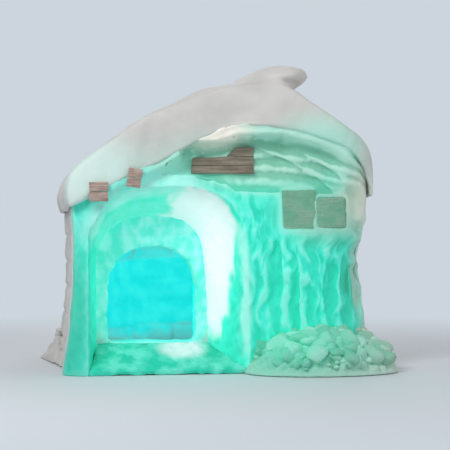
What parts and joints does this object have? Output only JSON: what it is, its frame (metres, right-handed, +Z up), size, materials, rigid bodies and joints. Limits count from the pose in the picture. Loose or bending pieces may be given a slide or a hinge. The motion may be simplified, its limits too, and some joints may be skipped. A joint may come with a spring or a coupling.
{
  "type": "snow igloo with arched porch",
  "caption": "Walk-in snow igloo: round domed room, arched front wall with a deep splayed doorway, thick drifted snow cap, bare wooden boards.",
  "frame": {"origin": "on the ground, under the middle of the igloo's outline", "axes": "+Z up, the doorway faces -Y, +X to the right of a person who looks at the front"},
  "size_m": [4.66, 5.55, 4.1245],
  "materials": {
    "packed_snow": "wind-packed building snow, matt, faintly grainy",
    "drifted_snow": "smooth drifted snow, soft and matt, with a slight sparkle",
    "chiselled_snow": "chiselled icy snow tinted aqua, with a thin glaze",
    "snow_block": "sawn snow block, matt with a coarse grain",
    "trodden_snow": "trodden snow, compact and slightly glossy",
    "banked_snow": "broken lumps of snow thrown against the foot",
    "weathered_wood": "bare weathered boards, matt with open grain"
  },
  "bodies": {
    "root": {"bank_back_left": "banked_snow", "bank_back_right": "banked_snow", "bank_front_right": "banked_snow", "bank_left": "banked_snow", "bank_right": "banked_snow", "crown_block": "packed_snow", "dome_back_left": "packed_snow", "dome_back_right": "packed_snow", "dome_front_left": "packed_snow", "dome_front_right": "packed_snow", "dome_left": "packed_snow", "dome_right": "packed_snow", "door_head": "chiselled_snow", "door_jamb_left": "chiselled_snow", "door_jamb_right": "chiselled_snow", "door_sill": "trodden_snow", "entrance_arch": "chiselled_snow", "entrance_jamb_right": "chiselled_snow", "entrance_ramp": "trodden_snow", "front_wall_head": "chiselled_snow", "front_wall_left": "chiselled_snow", "front_wall_right": "chiselled_snow", "inner_wall_head": "packed_snow", "inner_wall_left": "packed_snow", "inner_wall_right": "packed_snow", "roof_snow_back": "drifted_snow", "roof_snow_left": "drifted_snow", "roof_snow_right": "drifted_snow", "sign_board": "weathered_wood", "small_board_left": "weathered_wood", "small_board_right": "weathered_wood", "snow_crest": "drifted_snow", "upper_block_left": "snow_block", "upper_block_right": "snow_block", "wall_back": "packed_snow", "wall_back_left": "packed_snow", "wall_back_right": "packed_snow", "wall_left": "packed_snow", "wall_right": "packed_snow"}
  },
  "joints": []
}
